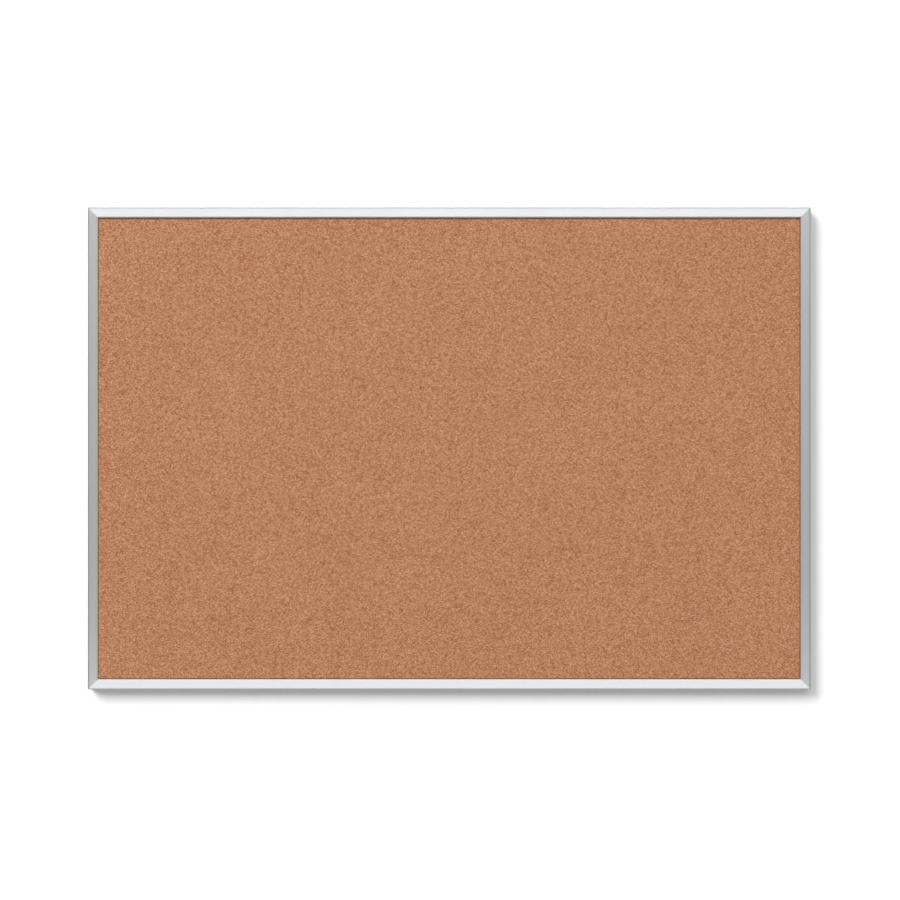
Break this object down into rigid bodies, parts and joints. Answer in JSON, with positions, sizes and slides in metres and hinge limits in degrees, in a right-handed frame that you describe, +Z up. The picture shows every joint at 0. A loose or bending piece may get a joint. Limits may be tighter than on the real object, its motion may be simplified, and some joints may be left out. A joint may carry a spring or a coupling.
{
  "type": "cork bulletin board",
  "caption": "Wall-hung cork pinning board in a mitred satin aluminium frame, with keyhole hangers that slide along its top rail.",
  "frame": {"origin": "centre of the board on the plane of the wall behind it, where the hangers' plates and the bumpers touch the wall", "axes": "+X to the reader's right, +Z up, -Y out of the cork towards the reader, +Y into the wall"},
  "size_m": [0.9144, 0.0191, 0.6096],
  "materials": {
    "cork": "fine-grained pressed natural cork, matt",
    "fibre_board": "soft wood-fibre board, matt",
    "backing_paper": "brown kraft paper, matt",
    "anodised_aluminium": "satin anodised, with extrusion grain along each rail",
    "zinc_plated_steel": "zinc-plated stamped steel",
    "screw_steel": "zinc-plated turned steel",
    "spring_steel": "blued spring steel",
    "pressed_steel": "zinc-plated pressed steel",
    "bumper_rubber": "moulded rubber, matt"
  },
  "bodies": {
    "frame": {"cork_sheet": "cork", "core_panel": "fibre_board", "backing_sheet": "backing_paper", "rail_top": "anodised_aluminium", "rail_bottom": "anodised_aluminium", "rail_left": "anodised_aluminium", "rail_right": "anodised_aluminium", "corner_key_top_left": "zinc_plated_steel", "corner_key_top_right": "zinc_plated_steel", "corner_key_bottom_left": "zinc_plated_steel", "corner_key_bottom_right": "zinc_plated_steel", "corner_shim_top_left": "zinc_plated_steel", "corner_shim_top_right": "zinc_plated_steel", "corner_shim_bottom_left": "zinc_plated_steel", "corner_shim_bottom_right": "zinc_plated_steel", "corner_screws_top_left": "screw_steel", "corner_screws_top_right": "screw_steel", "corner_screws_bottom_left": "screw_steel", "corner_screws_bottom_right": "screw_steel", "springs_top": "spring_steel", "springs_bottom": "spring_steel", "springs_left": "spring_steel", "springs_right": "spring_steel", "bumper_left": "bumper_rubber", "bumper_right": "bumper_rubber"},
    "hanger_left": {"hanger_left": "pressed_steel"},
    "hanger_right": {"hanger_right": "pressed_steel"}
  },
  "joints": [
    {"name": "hanger_left_slide", "type": "slide", "parent": "frame", "child": "hanger_left", "axis": [1, 0, 0], "range_m": [0, 0.38]},
    {"name": "hanger_right_slide", "type": "slide", "parent": "frame", "child": "hanger_right", "axis": [1, 0, 0], "range_m": [-0.38, 0]}
  ]
}
